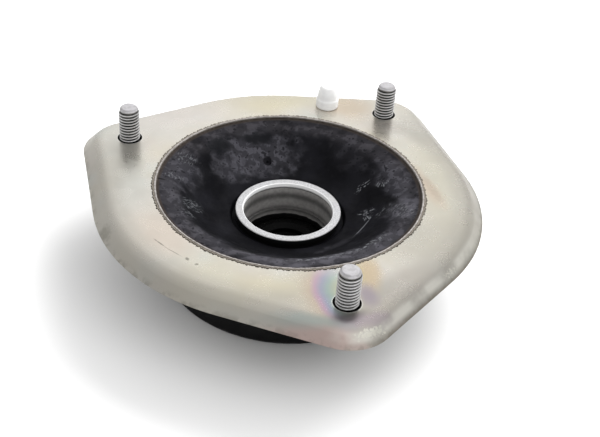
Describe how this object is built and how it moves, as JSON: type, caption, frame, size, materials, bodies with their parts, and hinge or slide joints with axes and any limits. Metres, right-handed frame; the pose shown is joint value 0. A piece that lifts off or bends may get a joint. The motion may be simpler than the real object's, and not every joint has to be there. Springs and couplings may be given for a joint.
{
  "type": "strut top mount",
  "caption": "Strut top mount: lobed pressed plate with press-in studs, a dished rubber element in a flanged shell, and a ball bearing that lets the strut's rod turn.",
  "frame": {"origin": "on the strut's axis, in the plane of the plate's top face, which bolts against the strut tower", "axes": "+Z along the strut's axis, up through the strut tower; the single front stud is at -Y"},
  "size_m": [0.146, 0.1601, 0.0518],
  "materials": {
    "zinc_plate": "yellowish zinc passivate, satin, scuffed",
    "stud_steel": "grey zinc, satin",
    "white_plastic": "translucent white nylon",
    "black_shell": "black coat, satin",
    "rubber": "moulded, dusty, scuffed",
    "bright_steel": "bright turned steel",
    "sleeve_steel": "plain drawn steel",
    "bearing_steel": "dark ground steel, oily",
    "ball_steel": "polished",
    "cage_plastic": "moulded nylon",
    "seal_rubber": "gloss black moulded"
  },
  "bodies": {
    "mount": {"mounting_plate": "zinc_plate", "stud_front": "stud_steel", "stud_rear_right": "stud_steel", "stud_rear_left": "stud_steel", "locating_pin": "white_plastic", "outer_shell": "black_shell", "rubber_element": "rubber", "top_ring": "bright_steel", "upper_sleeve": "sleeve_steel", "bearing_housing": "sleeve_steel", "bearing_outer_race": "bearing_steel", "upper_seal": "seal_rubber", "lower_seal": "seal_rubber"},
    "rod_race": {"bearing_inner_race": "bearing_steel"},
    "ball_set": {"ball_cage": "cage_plastic", "ball_1": "ball_steel", "ball_2": "ball_steel", "ball_3": "ball_steel", "ball_4": "ball_steel", "ball_5": "ball_steel", "ball_6": "ball_steel", "ball_7": "ball_steel", "ball_8": "ball_steel", "ball_9": "ball_steel", "ball_10": "ball_steel", "ball_11": "ball_steel", "ball_12": "ball_steel"}
  },
  "joints": [
    {"name": "race_turn", "type": "hinge", "parent": "mount", "child": "rod_race", "pos_m": [0, 0, -0.0315], "axis": [0, 0, 1], "continuous": true},
    {"name": "ball_set_turn", "type": "hinge", "parent": "mount", "child": "ball_set", "pos_m": [0, 0, -0.0315], "axis": [0, 0, 1], "continuous": true}
  ],
  "couplings": [
    {"joint": "ball_set_turn", "follows": "race_turn", "ratio": 0.41496}
  ]
}
